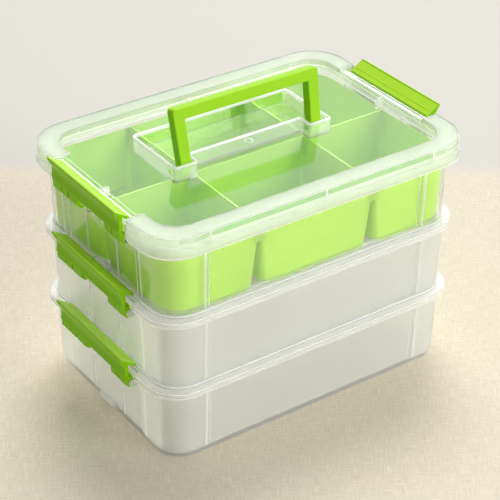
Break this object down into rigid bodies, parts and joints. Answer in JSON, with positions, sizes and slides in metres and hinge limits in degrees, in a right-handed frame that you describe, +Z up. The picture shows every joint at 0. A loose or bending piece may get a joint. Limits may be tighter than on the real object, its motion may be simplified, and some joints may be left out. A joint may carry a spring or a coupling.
{
  "type": "stacking sewing box",
  "caption": "Clear stacking carry box with tiers held by green swing latches, a fold-down handle in the lid and a lift-out divided sewing tray.",
  "frame": {"origin": "centre of the bottom tier's footprint, on the surface that the box stands on", "axes": "+X along the long side towards the right latches, +Y from the front to the back, +Z up"},
  "size_m": [0.271, 0.1836, 0.2197],
  "materials": {
    "clear_tier": "translucent, smooth",
    "clear_lid": "translucent, glossy panel with a milky border",
    "green_handle": "semi-gloss",
    "green_latch": "semi-gloss",
    "pale_green_tray": "slightly translucent"
  },
  "bodies": {
    "bottom_box": {"bottom_box": "clear_tier"},
    "middle_box": {"middle_box": "clear_tier"},
    "top_box": {"top_box": "clear_tier"},
    "lid": {"lid": "clear_lid"},
    "carry_handle": {"carry_handle": "green_handle"},
    "divider_tray": {"divider_tray": "pale_green_tray"},
    "latch_left_lower": {"latch_left_lower": "green_latch"},
    "latch_right_lower": {"latch_right_lower": "green_latch"},
    "latch_left_middle": {"latch_left_middle": "green_latch"},
    "latch_right_middle": {"latch_right_middle": "green_latch"},
    "latch_left_upper": {"latch_left_upper": "green_latch"},
    "latch_right_upper": {"latch_right_upper": "green_latch"}
  },
  "joints": [
    {"name": "left_lower_latch_swing", "type": "hinge", "parent": "bottom_box", "child": "latch_left_lower", "pos_m": [-0.1276, 0, 0.0512], "axis": [0, -1, 0], "range_deg": [0, 105]},
    {"name": "right_lower_latch_swing", "type": "hinge", "parent": "bottom_box", "child": "latch_right_lower", "pos_m": [0.1276, 0, 0.0512], "axis": [0, 1, 0], "range_deg": [0, 105]},
    {"name": "left_middle_latch_swing", "type": "hinge", "parent": "middle_box", "child": "latch_left_middle", "pos_m": [-0.1276, 0, 0.1088], "axis": [0, -1, 0], "range_deg": [0, 105]},
    {"name": "right_middle_latch_swing", "type": "hinge", "parent": "middle_box", "child": "latch_right_middle", "pos_m": [0.1276, 0, 0.1088], "axis": [0, 1, 0], "range_deg": [0, 105]},
    {"name": "left_upper_latch_swing", "type": "hinge", "parent": "top_box", "child": "latch_left_upper", "pos_m": [-0.1276, 0, 0.1664], "axis": [0, -1, 0], "range_deg": [0, 105]},
    {"name": "right_upper_latch_swing", "type": "hinge", "parent": "top_box", "child": "latch_right_upper", "pos_m": [0.1276, 0, 0.1664], "axis": [0, 1, 0], "range_deg": [0, 105]},
    {"name": "handle_fold", "type": "hinge", "parent": "lid", "child": "carry_handle", "pos_m": [0, -0.0014, 0.1754], "axis": [-1, 0, 0], "range_deg": [-14, 79]},
    {"name": "lid_lift", "type": "slide", "parent": "top_box", "child": "lid", "axis": [0, 0, 1], "range_m": [0, 0.13]},
    {"name": "tray_lift", "type": "slide", "parent": "top_box", "child": "divider_tray", "axis": [0, 0, 1], "range_m": [0, 0.065]},
    {"name": "top_tier_lift", "type": "slide", "parent": "middle_box", "child": "top_box", "axis": [0, 0, 1], "range_m": [0, 0.07]},
    {"name": "middle_tier_lift", "type": "slide", "parent": "bottom_box", "child": "middle_box", "axis": [0, 0, 1], "range_m": [0, 0.07]}
  ],
  "couplings": [
    {"joint": "tray_lift", "follows": "lid_lift", "ratio": 0.5}
  ]
}
